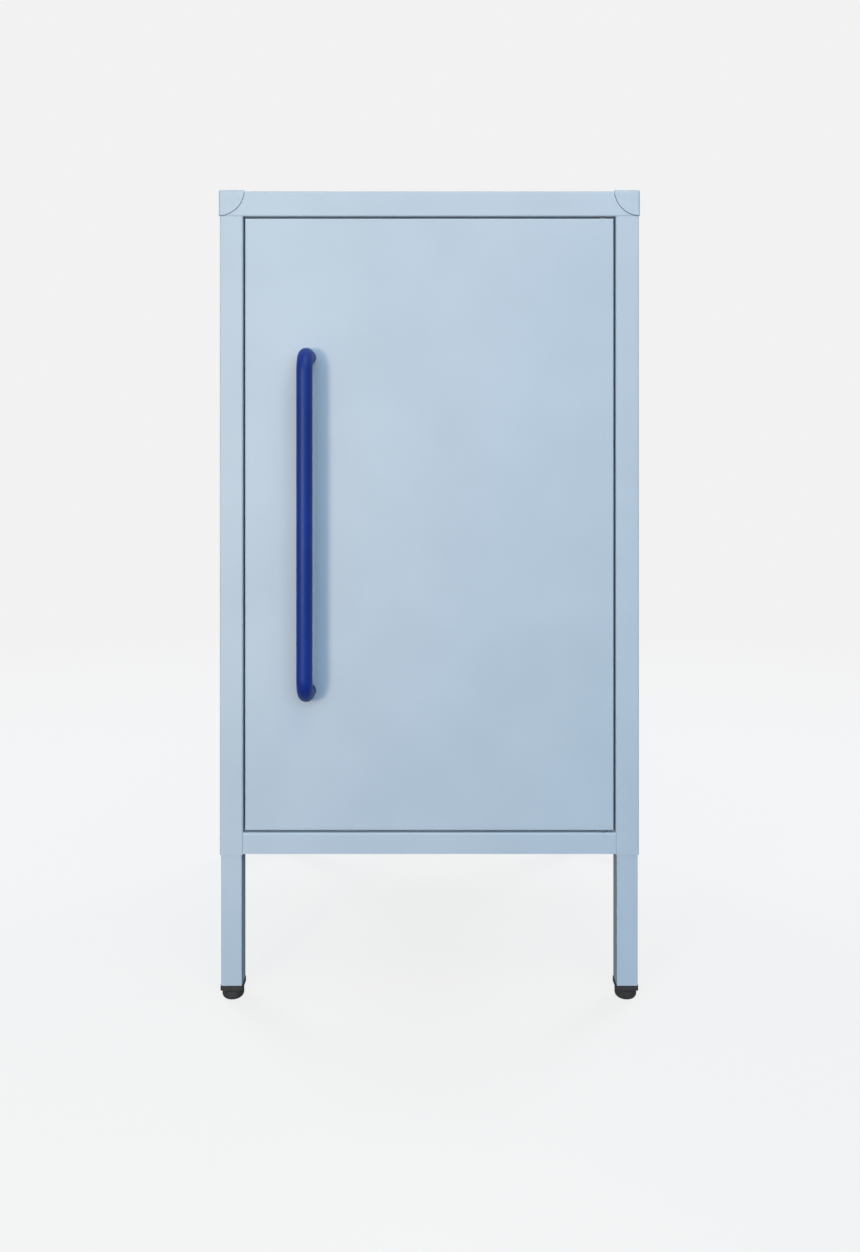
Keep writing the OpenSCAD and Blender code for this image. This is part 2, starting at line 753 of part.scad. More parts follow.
top_panel();
side_panel(-1);  // side_panel_left
side_panel(1);  // side_panel_right
back_panel();
bottom_tray();
stop_rail();
for (c = CORNERS) {
    corner_cap(c[1], c[2]);
    post(c[1], c[2]);
    leg(c[1], c[2]);
    foot_cap(c[1], c[2]);
    glide_dome(c[1], c[2]);
    glide_stud(c[1], c[2]);
}
leg_screws();
shelf();
shelf_clips();
hinge_plate(lip_z + sheet_t);  // hinge_plate_top
hinge_plate(floor_z - sheet_t - plate_t);  // hinge_plate_bottom
hinge_pin(lip_z + sheet_t + plate_t, -1);  // hinge_pin_top
hinge_pin(floor_z - sheet_t - plate_t, 1);  // hinge_pin_bottom
hinge_washer();
catch_housing();
catch_magnet();
catch_poles();
catch_screws();
door_buffers();
door_shell();
door_stiffener();
door_bush(door_z1, 1);  // door_bush_top
door_bush(door_z0, -1);  // door_bush_bottom
strike_plate();
handle();
handle_inserts();
handle_screws();
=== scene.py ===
import math
from collections import namedtuple

import bmesh
import bpy
from mathutils import Matrix, Vector


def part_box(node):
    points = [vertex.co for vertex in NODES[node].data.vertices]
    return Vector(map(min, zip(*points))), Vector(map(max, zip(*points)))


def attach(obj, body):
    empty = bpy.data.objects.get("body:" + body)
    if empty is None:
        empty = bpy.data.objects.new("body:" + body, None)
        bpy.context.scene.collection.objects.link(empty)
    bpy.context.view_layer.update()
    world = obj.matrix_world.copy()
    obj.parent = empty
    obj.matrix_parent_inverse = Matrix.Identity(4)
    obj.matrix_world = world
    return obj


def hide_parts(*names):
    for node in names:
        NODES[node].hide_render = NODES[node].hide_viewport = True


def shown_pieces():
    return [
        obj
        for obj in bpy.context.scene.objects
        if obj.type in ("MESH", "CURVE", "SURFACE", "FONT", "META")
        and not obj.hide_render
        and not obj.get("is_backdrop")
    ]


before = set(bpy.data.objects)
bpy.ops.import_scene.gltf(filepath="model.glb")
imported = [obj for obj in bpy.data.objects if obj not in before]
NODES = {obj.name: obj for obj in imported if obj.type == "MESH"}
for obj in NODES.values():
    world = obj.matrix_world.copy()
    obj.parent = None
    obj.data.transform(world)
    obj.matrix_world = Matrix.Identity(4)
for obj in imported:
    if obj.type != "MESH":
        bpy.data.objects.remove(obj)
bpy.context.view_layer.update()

bl_info = {
    "name": "Bedside cabinet finish",
    "version": (1, 0, 0),
    "blender": (4, 5, 0),
    "location": "3D View > Sidebar > Cabinet",
    "description": "Gives the sheet-steel bedside cabinet its paint, plastics, fasteners and studio",
    "category": "Object",
}

FINISHED = set()                                       # the CAD nodes that have their look
MM = 0.001
Extent = namedtuple("Extent", "left right top bottom")  # of what shows in the photograph's frame

# The photograph's frame.
PHOTO_W, PHOTO_H = 860, 1252
PHOTO_L = max(PHOTO_W, PHOTO_H)

# The camera stands level in front of the door, because the cabinet's uprights are parallel in the
# photograph. It sees the insides of the front legs, but not the rear legs, which sets its distance.
CAMERA_X = 0.0006
CAMERA_HEIGHT = 0.497
CAMERA_DISTANCE = 0.960                                # in front of the door
SENSOR_MM = 36.0
LENS_MM = 29.1
SHIFT_X = 0.0
SHIFT_Y = -0.1185

# The lamps' places and the sides of their square faces, in metres. The second rear lamp mirrors the
# first.
KEY_PLACE, KEY_SIDE = (-0.585, -1.34, 0.48), 0.2
TOP_PLACE, TOP_SIDE = (0.2, -0.8, 1.6), 0.6
FRONT_PLACE, FRONT_SIDE = (0.05, -3.6, 0.7), 4.4
REAR_PLACE, REAR_SIDE = (2.2, 1.9, 1.7), 1.4
LAMP_TARGET = Vector((0, 0, 0.45))                     # about the middle of the door
FLOOR_HALF = 30.0                                      # half the floor's side
FLOOR_NEAR, FLOOR_FAR = 0.5, 2.2                       # where its fade into the background starts and ends

# Noise mostly lies in the first range. A colour turns from dark to light over the second.
NOISE_LOW, NOISE_HIGH = 0.3, 0.7
CLOUD_LOW, CLOUD_HIGH = 0.35, 0.65

LATHE_STEPS = 48                                       # facets round a turned piece
THREAD_STEPS = 32                                      # facets in a turn of a thread
LOBES = 6                                              # lobes of a screw's drive

# Width and height of a screw's head, as in the CAD model, and the width of its drive, all in shares
# of the shank's diameter.
HEAD_WIDE, HEAD_TALL, DRIVE_WIDE = 1.8, 0.55, 0.9

# Levelling studs: the plain length under the thread, the chamfer at the tip, and the share of the
# thread's depth that keeps its crests inside the CAD stud.
STUD_PLAIN, STUD_CHAMFER, CREST_SHARE = 1 * MM, 1 * MM, 0.98

# Spot welds. On the stiffener: the middle of a foot from its edge, and the space past a row's ends.
# On a side panel: the distance of the rows in from the post's face, the space under the lower row
# and over the upper one, and the length of a row, which keeps clear of the peg holes.
SHEET = 1 * MM                                         # thickness of the sheet steel
FOOT_MIDDLE, FOOT_SPACE = 8 * MM, 30 * MM
PANEL_IN, PANEL_UNDER, PANEL_OVER, PANEL_ROW = 10 * MM, 40 * MM, 30 * MM, 140 * MM


# ------------------------------------------------------------------------------------ materials

def linear(hex_colour):
    """The linear colour, with alpha, of an sRGB hex value."""
    parts = [int(hex_colour[i:i + 2], 16) / 255 for i in (1, 3, 5)]
    return [c / 12.92 if c <= 0.04045 else ((c + 0.055) / 1.055) ** 2.4 for c in parts] + [1.0]


def add_node(tree, kind, settings=None, inputs=None):
    """Adds a node: settings are its properties, and inputs are its sockets' values or links."""
    node = tree.nodes.new(kind)
    for name, value in (settings or {}).items():
        setattr(node, name, value)
    for name, value in (inputs or {}).items():
        socket = node.inputs[name]
        if isinstance(value, bpy.types.NodeSocket):
            tree.links.new(value, socket)
        else:
            socket.default_value = value
    return node


def new_material(name, **shader):
    """A material with one Principled shader, whose named sockets are set to constants."""
    material = bpy.data.materials.new(name)
    material.use_nodes = True
    tree = material.node_tree
    tree.nodes.clear()
    names = {socket.replace("_", " "): value for socket, value in shader.items()}
    principled = add_node(tree, "ShaderNodeBsdfPrincipled", inputs=names)
    output = add_node(tree, "ShaderNodeOutputMaterial")
    tree.links.new(principled.outputs["BSDF"], output.inputs["Surface"])
    return material, tree, principled


def grains(tree, size_mm):
    """Noise in the piece's own metres, whose grains are about size_mm wide."""
    place = add_node(tree, "ShaderNodeTexCoord").outputs["Object"]
    return add_node(tree, "ShaderNodeTexNoise", inputs={
        "Vector": place, "Scale": 1 / (size_mm * MM), "Detail": 2.0}).outputs["Fac"]


def vary_colour(tree, principled, dark, light, size_mm):
    """Lets the colour drift between two hex values, in clouds about size_mm wide."""
    ramp = add_node(tree, "ShaderNodeValToRGB", inputs={"Fac": grains(tree, size_mm)})
    first, last = ramp.color_ramp.elements
    first.position, last.position = CLOUD_LOW, CLOUD_HIGH
    first.color, last.color = linear(dark), linear(light)
    tree.links.new(ramp.outputs["Color"], principled.inputs["Base Color"])


def vary_roughness(tree, principled, roughness, swing, size_mm):
    """Lets the roughness swing about its value, in spots about size_mm wide."""
    spots = add_node(tree, "ShaderNodeMapRange", inputs={
        "Value": grains(tree, size_mm), "From Min": NOISE_LOW, "From Max": NOISE_HIGH,
        "To Min": roughness - swing, "To Max": roughness + swing})
    tree.links.new(spots.outputs["Result"], principled.inputs["Roughness"])


def add_relief(tree, principled, size_mm, depth_mm, strength):
    """Raises the surface in grains about size_mm wide and depth_mm deep."""
    relief = add_node(tree, "ShaderNodeBump", inputs={
        "Height": grains(tree, size_mm), "Strength": strength, "Distance": depth_mm * MM})
    tree.links.new(relief.outputs["Normal"], principled.inputs["Normal"])


def powder_coat(name, dark, light, roughness, peel, tint="#ffffff"):
    """Polyester powder coat, baked on steel: an even, closed skin with a fine orange peel, which
    softens every reflection and breaks it up a little. The tint colours its reflections."""
    material, tree, principled = new_material(name, IOR=1.5, Specular_Tint=linear(tint))
    vary_colour(tree, principled, dark, light, size_mm=90)
    vary_roughness(tree, principled, roughness, swing=0.03, size_mm=2.5)
    add_relief(tree, principled, size_mm=peel / MM, depth_mm=0.02, strength=0.25)
    return material


def moulded(name, dark, light, roughness, grain_mm):
    """Injection-moulded plastic: the mould's spark-eroded grain gives it a soft, dull sheen."""
    material, tree, principled = new_material(name, IOR=1.49)
    vary_colour(tree, principled, dark, light, size_mm=8)
    vary_roughness(tree, principled, roughness, swing=0.04, size_mm=3)
    add_relief(tree, principled, size_mm=grain_mm, depth_mm=0.03, strength=0.3)
    return material


def body_coat():
    """The body's powder coat, made once: light blue, with a wide, soft sheen."""
    paint = bpy.context.scene.cabinet_paint
    made = bpy.data.materials.get("light_blue_powder_coat")
    return made or powder_coat("light_blue_powder_coat", paint.body_dark, paint.body_light,
                               roughness=0.54, peel=paint.peel_size)


def handle_coat():
    """The handle's powder coat: deep blue, with highlights that stay cool in the warm key light."""
    paint = bpy.context.scene.cabinet_paint
    return powder_coat("deep_blue_powder_coat", paint.handle_dark, paint.handle_light,
                       roughness=0.48, peel=paint.peel_size, tint="#deffff")


def cap_plastic():
    """The corner caps' plastic: coloured to match the paint, and a little glossier than it."""
    paint = bpy.context.scene.cabinet_paint
    return moulded("light_blue_moulding", paint.body_dark, paint.body_light,
                   roughness=0.47, grain_mm=0.9)


def foot_plastic():
    """Black plastic of the feet: grained, so that its edges catch a soft grey light."""
    return moulded("black_moulding", "#383838", "#404040", roughness=0.45, grain_mm=0.8)


def bush_nylon():
    """Grey nylon of the hinge's bushes: dull and slightly blue, so it sinks into the door's gap."""
    return moulded("grey_nylon", "#66727c", "#6e7a84", roughness=0.45, grain_mm=1.2)


def natural_nylon():
    """Undyed nylon of the clips and the catch: off-white, with a slightly waxy gloss."""
    return moulded("natural_nylon", "#dfe1dd", "#e8e9e5", roughness=0.4, grain_mm=1.2)


def sintered_magnet():
    """Ferrite of the catch's magnet, pressed and sintered: dark grey, fine-grained and dull."""
    return moulded("sintered_magnet", "#3d3d40", "#4a4a4c", roughness=0.6, grain_mm=0.5)


def soft_rubber():
    """Rubber of the door's buffers: nearly black, and dull at every angle."""
    return moulded("soft_rubber", "#232323", "#2b2b2b", roughness=0.7, grain_mm=0.7)


def zinc_plate():
    """Bright zinc plate on steel, made once: a grey metal with a faint cloudy bloom."""
    name = "zinc_plated_steel"
    if name in bpy.data.materials:
        return bpy.data.materials[name]
    material, tree, principled = new_material(name, Metallic=1.0)
    vary_colour(tree, principled, "#b4b8bb", "#c6c9cb", size_mm=6)
    vary_roughness(tree, principled, roughness=0.32, swing=0.06, size_mm=2)
    return material


# ------------------------------------------------------------------------------------ shapes

def new_object(name, mesh):
    """An object with this mesh, in the scene."""
    obj = bpy.data.objects.new(name, mesh)
    bpy.context.scene.collection.objects.link(obj)
    return obj


def seat(obj, body, slot, *nodes):
    """Puts a finished piece on its CAD body, and hides the CAD nodes it stands for. The slot is not used.
    """
    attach(obj, body)
    if nodes:
        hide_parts(*nodes)
        FINISHED.update(nodes)


def lathe(rings, steps=LATHE_STEPS):
    """A closed mesh through rings about Z. Each is (z, radius, lobe): the radius swings by lobe once
    for each lobe of a screw's drive. A radius of 0 closes the mesh with one point."""
    mesh = bmesh.new()
    loops = []
    for z, radius, lobe in rings:
        count = steps if radius > 0 else 1
        loop = []
        for i in range(count):
            turn = math.tau * i / steps
            r = radius + lobe * math.cos(LOBES * turn)
            loop.append(mesh.verts.new((r * math.cos(turn), r * math.sin(turn), z)))
        loops.append(loop)
    for low, high in zip(loops, loops[1:]):
        for i in range(steps):
            j = (i + 1) % steps
            corners = (low[i % len(low)], low[j % len(low)], high[j % len(high)], high[i % len(high)])
            mesh.faces.new(list(dict.fromkeys(corners)))
    bmesh.ops.recalc_face_normals(mesh, faces=mesh.faces)
    made = bpy.data.meshes.new("lathe")
    mesh.to_mesh(made)
    mesh.free()
    return made


def smooth_by_angle(obj, degrees):
    """Smooth shading, with edges sharper than this left crisp."""
    obj.data.shade_smooth()
    obj.data.set_sharp_from_angle(angle=math.radians(degrees))


def seats_mesh(seats):
    """One vertex at each place, with the direction that the instance there points in."""
    mesh = bpy.data.meshes.new("seats")
    mesh.from_pydata([place for place, axis in seats], [], [])
    axes = mesh.attributes.new("axis", "FLOAT_VECTOR", "POINT")
    for item, (place, axis) in zip(axes.data, seats):
        item.vector = axis
    return mesh


def lines_mesh(lines):
    """One edge for each pair of points."""
    mesh = bpy.data.meshes.new("lines")
    mesh.from_pydata([point for line in lines for point in line],
                     [(2 * i, 2 * i + 1) for i in range(len(lines))], [])
    return mesh


def node_group(name, **inputs):
    """A Geometry Nodes group with a geometry in and out and the named inputs, and its input node."""
    tree = bpy.data.node_groups.new(name, "GeometryNodeTree")
    tree.interface.new_socket("Geometry", in_out="INPUT", socket_type="NodeSocketGeometry")
    for label, kind in inputs.items():
        tree.interface.new_socket(label.replace("_", " "), in_out="INPUT", socket_type=kind)
    tree.interface.new_socket("Geometry", in_out="OUTPUT", socket_type="NodeSocketGeometry")
    return tree, add_node(tree, "NodeGroupInput").outputs


def close_group(tree, geometry, material):
    """Ends a group: its instances become real and take the material."""
    real = add_node(tree, "GeometryNodeRealizeInstances", inputs={"Geometry": geometry})
    painted = add_node(tree, "GeometryNodeSetMaterial",
                       inputs={"Geometry": real.outputs["Geometry"], "Material": material})
    add_node(tree, "NodeGroupOutput", inputs={"Geometry": painted.outputs["Geometry"]})


def grown(name, mesh, tree, **values):
    """A plain-mesh object: what the group makes of the mesh with these inputs."""
    source = new_object(name + "_source", mesh)
    modifier = source.modifiers.new("grow", "NODES")
    modifier.node_group = tree
    sockets = {item.name: item.identifier
               for item in tree.interface.items_tree if item.in_out == "INPUT"}
    for label, value in values.items():
        modifier[sockets[label.replace("_", " ")]] = value
    bpy.context.view_layer.update()
    evaluated = source.evaluated_get(bpy.context.evaluated_depsgraph_get())
    made = bpy.data.meshes.new_from_object(evaluated)
    bpy.data.objects.remove(source)
    if not made.polygons:
        raise RuntimeError(name + " came out empty")
    return new_object(name, made)


def place_parts(tree, given, points, axis):
    """Ends a group: its part stands on each point, its +Z along the axis."""
    turn = add_node(tree, "FunctionNodeAlignRotationToVector", {"axis": "Z"}, {"Vector": axis})
    part = add_node(tree, "GeometryNodeObjectInfo", inputs={"Object": given["Part"]})
    placed = add_node(tree, "GeometryNodeInstanceOnPoints", inputs={
        "Points": points, "Instance": part.outputs["Geometry"],
        "Rotation": turn.outputs["Rotation"]})
    close_group(tree, placed.outputs["Instances"], given["Material"])


def parts_on_seats_group():
    """Sets a part on each seat, its +Z along the seat's axis."""
    tree, given = node_group("parts_on_seats", Part="NodeSocketObject", Material="NodeSocketMaterial")
    axis = add_node(tree, "GeometryNodeInputNamedAttribute", {"data_type": "FLOAT_VECTOR"},
                    {"Name": "axis"})
    place_parts(tree, given, given["Geometry"], axis.outputs["Attribute"])
    return tree


def parts_along_lines_group():
    """Sets a part at an even pitch along each line."""
    tree, given = node_group("parts_along_lines", Part="NodeSocketObject", Pitch="NodeSocketFloat",
                             Axis="NodeSocketVector", Material="NodeSocketMaterial")
    line = add_node(tree, "GeometryNodeMeshToCurve", inputs={"Mesh": given["Geometry"]})
    even = add_node(tree, "GeometryNodeResampleCurve", {"mode": "LENGTH"},
                    {"Curve": line.outputs["Curve"], "Length": given["Pitch"]})
    place_parts(tree, given, even.outputs["Curve"], given["Axis"])
    return tree


def screw_thread_group():
    """Winds a ridge of triangular section about the mesh's Z axis, upwards from z = 0."""
    tree, given = node_group("screw_thread", Pitch="NodeSocketFloat", Turns="NodeSocketFloat",
                             Core_Radius="NodeSocketFloat", Depth="NodeSocketFloat",
                             Material="NodeSocketMaterial")
    height = add_node(tree, "ShaderNodeMath", {"operation": "MULTIPLY"},
                      {0: given["Pitch"], 1: given["Turns"]})
    helix = add_node(tree, "GeometryNodeCurveSpiral", inputs={
        "Resolution": THREAD_STEPS, "Rotations": given["Turns"], "Height": height.outputs[0],
        "Start Radius": given["Core Radius"], "End Radius": given["Core Radius"]})
    upright = add_node(tree, "GeometryNodeSetCurveNormal", {"mode": "Z_UP"},
                       {"Curve": helix.outputs["Curve"]})
    section = add_node(tree, "GeometryNodeCurvePrimitiveCircle",
                       inputs={"Resolution": 3, "Radius": given["Depth"]})
    ridge = add_node(tree, "GeometryNodeCurveToMesh", inputs={
        "Curve": upright.outputs["Curve"], "Profile Curve": section.outputs["Curve"],
        "Fill Caps": True})
    both = add_node(tree, "GeometryNodeJoinGeometry")
    tree.links.new(ridge.outputs["Mesh"], both.inputs["Geometry"])
    tree.links.new(given["Geometry"], both.inputs["Geometry"])
    close_group(tree, both.outputs["Geometry"], given["Material"])
    return tree


def pan_head_screw(shank, length):
    """A domed pan-head screw with a six-lobed recess. Its head sits on z = 0 and its shank, of this
    diameter and length, points down."""
    shank_r, head_r, drive_r = shank / 2, HEAD_WIDE * shank / 2, DRIVE_WIDE * shank / 2
    height = HEAD_TALL * shank
    lobe = 0.18 * drive_r
    tip = [(-length, 0, 0), (-length, 0.8 * shank_r, 0), (0.2 * shank_r - length, shank_r, 0),
           (0, shank_r, 0)]
    dome = [(0, 0.99 * head_r, 0), (0.12 * height, head_r, 0), (0.35 * height, 0.975 * head_r, 0),
            (0.6 * height, 0.9 * head_r, 0), (0.82 * height, 0.78 * head_r, 0),
            (0.95 * height, 0.64 * head_r, 0)]
    recess = [(height, 1.04 * drive_r, lobe), (0.97 * height, drive_r - lobe, lobe),
              (0.4 * height, drive_r - 1.1 * lobe, lobe), (0.34 * height, 0, 0)]
    return lathe(tip + dome + recess)


def stud_core(core, length):
    """The rod inside a levelling stud's thread, chamfered at its tip."""
    start, end = -STUD_PLAIN, length - STUD_PLAIN
    return lathe([(start, 0, 0), (start, core, 0), (end - STUD_CHAMFER, core, 0),
                  (end, core - STUD_CHAMFER, 0), (end, 0, 0)])


def weld_mark(size):
    """The mark that a spot weld leaves on the sheet: a low ring round a shallow dimple. Its back is
    sunk in the sheet."""
    radius = size / 2
    back = [(-0.1 * MM, 0, 0), (-0.1 * MM, radius, 0)]
    ring = [(0.02 * MM, radius, 0), (0.14 * MM, 0.88 * radius, 0), (0.14 * MM, 0.78 * radius, 0)]
    dimple = [(0.03 * MM, 0.6 * radius, 0), (0.02 * MM, 0, 0)]
    return lathe(back + ring + dimple, steps=32)


# ------------------------------------------------------------------------------------ stage

def light_panel(name, place, side, watts, colour, reflected=True):
    """A soft square lamp at place, facing the target. Glossy surfaces show it only if reflected is
    true, so that a large lamp doesn't burn out a panel seen at a grazing angle."""
    lamp = bpy.data.lights.new(name, "AREA")
    lamp.shape = "SQUARE"
    lamp.size = side
    lamp.energy = watts
    lamp.color = linear(colour)[:3]
    obj = new_object(name, lamp)
    obj.location = place
    obj.visible_glossy = reflected
    obj.rotation_euler = (LAMP_TARGET - Vector(place)).to_track_quat("-Z", "Y").to_euler()


def seen_share(tree, glossy):
    """1 for rays from the camera and through clear surfaces, the glossy share for rays from glossy
    ones, and 0 for the rest."""
    path = add_node(tree, "ShaderNodeLightPath").outputs
    share = add_node(tree, "ShaderNodeMath", {"operation": "MULTIPLY"},
                     {0: path["Is Glossy Ray"], 1: glossy}).outputs[0]
    for ray in ("Is Camera Ray", "Is Transmission Ray"):
        share = add_node(tree, "ShaderNodeMath", {"operation": "MAXIMUM"},
                         {0: share, 1: path[ray]}).outputs[0]
    return share


def make_world(background, ambient, strength, glossy):
    """A world that shows the background, and lights the object with the ambient colour."""
    world = bpy.data.worlds.new("studio_world")
    bpy.context.scene.world = world
    world.use_nodes = True
    tree = world.node_tree
    tree.nodes.clear()
    shown = add_node(tree, "ShaderNodeBackground", inputs={
        "Color": linear(background), "Strength": 1.0})
    lit = add_node(tree, "ShaderNodeBackground", inputs={
        "Color": linear(ambient), "Strength": strength})
    mix = add_node(tree, "ShaderNodeMixShader", inputs={
        "Fac": seen_share(tree, glossy), 1: lit.outputs[0], 2: shown.outputs[0]})
    add_node(tree, "ShaderNodeOutputWorld", inputs={"Surface": mix.outputs[0]})


def floor_board(background, shade, glow, glossy):
    """A matt floor that shows pale. Near the cabinet its own shade takes the shadows, and a glow for
    seen rays lifts it to the background. Further out it turns into the background."""
    material, tree, principled = new_material(
        "matt_white_floor", Base_Color=linear(shade), Roughness=1.0, Specular_IOR_Level=0.0)
    place = add_node(tree, "ShaderNodeTexCoord").outputs["Object"]
    distance = add_node(tree, "ShaderNodeVectorMath", {"operation": "LENGTH"}, {0: place})
    away = add_node(tree, "ShaderNodeMapRange", {"interpolation_type": "SMOOTHSTEP"}, {
        "Value": distance.outputs["Value"], "From Min": FLOOR_NEAR, "From Max": FLOOR_FAR})
    seen = seen_share(tree, glossy)
    lift = add_node(tree, "ShaderNodeMath", {"operation": "MULTIPLY"}, {0: seen, 1: glow})
    near = add_node(tree, "ShaderNodeEmission", inputs={
        "Color": linear(background), "Strength": lift.outputs[0]})
    both = add_node(tree, "ShaderNodeAddShader", inputs={0: principled.outputs[0], 1: near.outputs[0]})
    far = add_node(tree, "ShaderNodeEmission", inputs={"Color": linear(background), "Strength": 1.0})
    share = add_node(tree, "ShaderNodeMath", {"operation": "MULTIPLY"},
                     {0: away.outputs["Result"], 1: seen})
    mix = add_node(tree, "ShaderNodeMixShader", inputs={
        "Fac": share.outputs[0], 1: both.outputs[0], 2: far.outputs[0]})
    output = next(node for node in tree.nodes if node.type == "OUTPUT_MATERIAL")
    tree.links.new(mix.outputs[0], output.inputs["Surface"])
    return material


def make_floor(material):
    """A wide, flat floor under the cabinet."""
    corners = [(x * FLOOR_HALF, y * FLOOR_HALF, 0) for x, y in ((-1, -1), (1, -1), (1, 1), (-1, 1))]
    mesh = bpy.data.meshes.new("studio_floor")
    mesh.from_pydata(corners, [], [(0, 1, 2, 3)])
    mesh.materials.append(material)
    floor = new_object("studio_floor", mesh)
    floor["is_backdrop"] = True


def make_camera():
    """The photograph's camera: level, in front of the door, with the frame shifted down."""
    data = bpy.data.cameras.new("camera")
    data.sensor_fit = "AUTO"
    data.sensor_width = SENSOR_MM
    data.lens = LENS_MM
    data.shift_x = SHIFT_X
    data.shift_y = SHIFT_Y
    camera = new_object("camera", data)
    camera.location = (CAMERA_X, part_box("door_shell")[0].y - CAMERA_DISTANCE, CAMERA_HEIGHT)
    camera.rotation_euler = (math.radians(90), 0, 0)
    bpy.context.scene.camera = camera


def to_photo(point):
    """Where a point shows in the photograph's frame."""
    camera = bpy.context.scene.camera
    local = camera.matrix_world.inverted() @ Vector(point)
    scale = PHOTO_L * LENS_MM / SENSOR_MM / -local.z
    return (local.x * scale + PHOTO_W / 2 - SHIFT_X * PHOTO_L,
            PHOTO_H / 2 + SHIFT_Y * PHOTO_L - local.y * scale)


# ------------------------------------------------------------------------------------ settings

def hex_setting(name, description, default):
    """A colour."""
    return bpy.props.StringProperty(
        name=name, description=description + ", as sRGB hex", default=default)


def length_setting(name, description, default):
    """A length in metres."""
    return bpy.props.FloatProperty(
        name=name, description=description, default=default, min=0, precision=5, unit="LENGTH",
        subtype="DISTANCE")


def power_setting(name, description, default):
    """A lamp's power in watts."""
    return bpy.props.FloatProperty(
        name=name, description=description, default=default, min=0, subtype="POWER")


def level_setting(name, description, default, highest=1.0):
    """A number from 0 to highest."""
    return bpy.props.FloatProperty(
        name=name, description=description, default=default, min=0, max=highest)


class CabinetStage(bpy.types.PropertyGroup):
    """Colours and powers of the studio"""
    background: hex_setting("Background", "Colour behind and under the cabinet", "#f2f2f2")
    floor_shade: hex_setting("Floor", "The floor's own shade, which takes the shadow", "#5a5a5a")
    floor_glow: level_setting("Floor glow", "How far the floor is lifted to the background", 0.9)
    glossy_share: level_setting("Glossy share", "Share of the background in glossy surfaces", 0.12)
    ambient: hex_setting("Ambient colour", "Colour of the light from all round", "#aaddff")
    ambient_level: level_setting("Ambient level", "Strength of the light from all round", 0.4, 10.0)
    key_watts: power_setting("Key lamp", "Power of the lamp in front, at the left", 6.5)
    key_colour: hex_setting("Key colour", "Colour of the key lamp and the top lamp", "#ffd8aa")
    top_watts: power_setting("Top lamp", "Power of the lamp above the door", 4.55)
    front_watts: power_setting("Front lamp", "Power of the large lamp behind the camera", 153.0)
    front_colour: hex_setting("Front colour", "Colour of the front lamp", "#d8ecff")
    rear_watts: power_setting("Rear lamps", "Power of each of the two lamps behind the cabinet", 62.0)
    rear_colour: hex_setting("Rear colour", "Colour of the two lamps behind the cabinet", "#ffffff")


class CabinetPaint(bpy.types.PropertyGroup):
    """The two powder coats"""
    body_dark: hex_setting("Body, darker", "Darker of the body's two blues", "#b4c6d5")
    body_light: hex_setting("Body, lighter", "Lighter of the body's two blues", "#b8cad9")
    handle_dark: hex_setting("Handle, darker", "Darker of the handle's two blues", "#082578")
    handle_light: hex_setting("Handle, lighter", "Lighter of the handle's two blues", "#0a2b84")
    peel_size: length_setting("Orange peel", "Width of the paint's orange peel", 1.4 * MM)


class CabinetFasteners(bpy.types.PropertyGroup):
    """Sizes of threads and spot welds"""
    thread_pitch: length_setting("Stud pitch", "Pitch of the thread on the levelling studs", 1.25 * MM)
    thread_depth: length_setting("Stud thread depth", "Height of the levelling studs' thread", 0.55 * MM)
    weld_pitch: length_setting("Weld pitch", "Distance between spot welds", 70 * MM)
    weld_size: length_setting("Weld diameter", "Diameter of a spot weld's mark", 6 * MM)


# ------------------------------------------------------------------------------------ operators

def paint_nodes(material, *names):
    """Gives CAD nodes a material in place of the frame's own."""
    for name in names:
        slots = NODES[name].data.materials
        slots.clear()
        slots.append(material)
    FINISHED.update(names)


def named(*starts):
    """The CAD nodes whose names start so."""
    found = [name for name in NODES if name.startswith(starts)]
    if not found:
        raise RuntimeError("no CAD node is named " + " or ".join(starts))
    return found


def door_weld_lines():
    """Lines along the stiffener's two feet, on their backs."""
    low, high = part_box("door_stiffener")
    return [[(x, low.y + SHEET, z) for z in (low.z + FOOT_SPACE, high.z - FOOT_SPACE)]
            for x in (low.x + FOOT_MIDDLE, high.x - FOOT_MIDDLE)]


def body_weld_lines():
    """Lines on the insides of the side panels' rear flanges, under and over the peg holes."""
    lines = []
    for side, node in ((-1, "side_panel_left"), (1, "side_panel_right")):
        low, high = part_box(node)
        x = side * (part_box("post_rear_right")[1].x - PANEL_IN)
        for start in (low.z + PANEL_UNDER, high.z - PANEL_OVER - PANEL_ROW):
            lines.append([(x, high.y - SHEET, z) for z in (start, start + PANEL_ROW)])
    return lines


def leg_screws():
    """Seats on the posts' inner faces, and the diameter and length of the leg screws' shanks."""
    low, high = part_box("leg_screws")
    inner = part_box("post_rear_right")[0].x
    seats = []
    for node in named("post_"):
        near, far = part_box(node)
        side = 1 if near.x > 0 else -1
        seats.append(((side * inner, (near.y + far.y) / 2, (low.z + high.z) / 2), (-side, 0, 0)))
    return seats, (high.z - low.z) / HEAD_WIDE, high.x - inner


def catch_screws():
    """Seats under the catch's two ears, and the diameter and length of its screws' shanks."""
    low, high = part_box("catch_screws")
    head = high.y - low.y
    shank = head / HEAD_WIDE
    under = low.z + HEAD_TALL * shank
    seats = [((x, (low.y + high.y) / 2, under), (0, 0, -1))
             for x in (low.x + head / 2, high.x - head / 2)]
    return seats, shank, high.z - under


def handle_screws():
    """Seats behind the door's face, and the diameter and length of the handle screws' shanks."""
    low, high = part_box("handle_screws")
    head = high.x - low.x
    shank = head / HEAD_WIDE
    behind = high.y - HEAD_TALL * shank
    seats = [(((low.x + high.x) / 2, behind, z), (0, 1, 0))
             for z in (low.z + head / 2, high.z - head / 2)]
    return seats, shank, behind - low.y


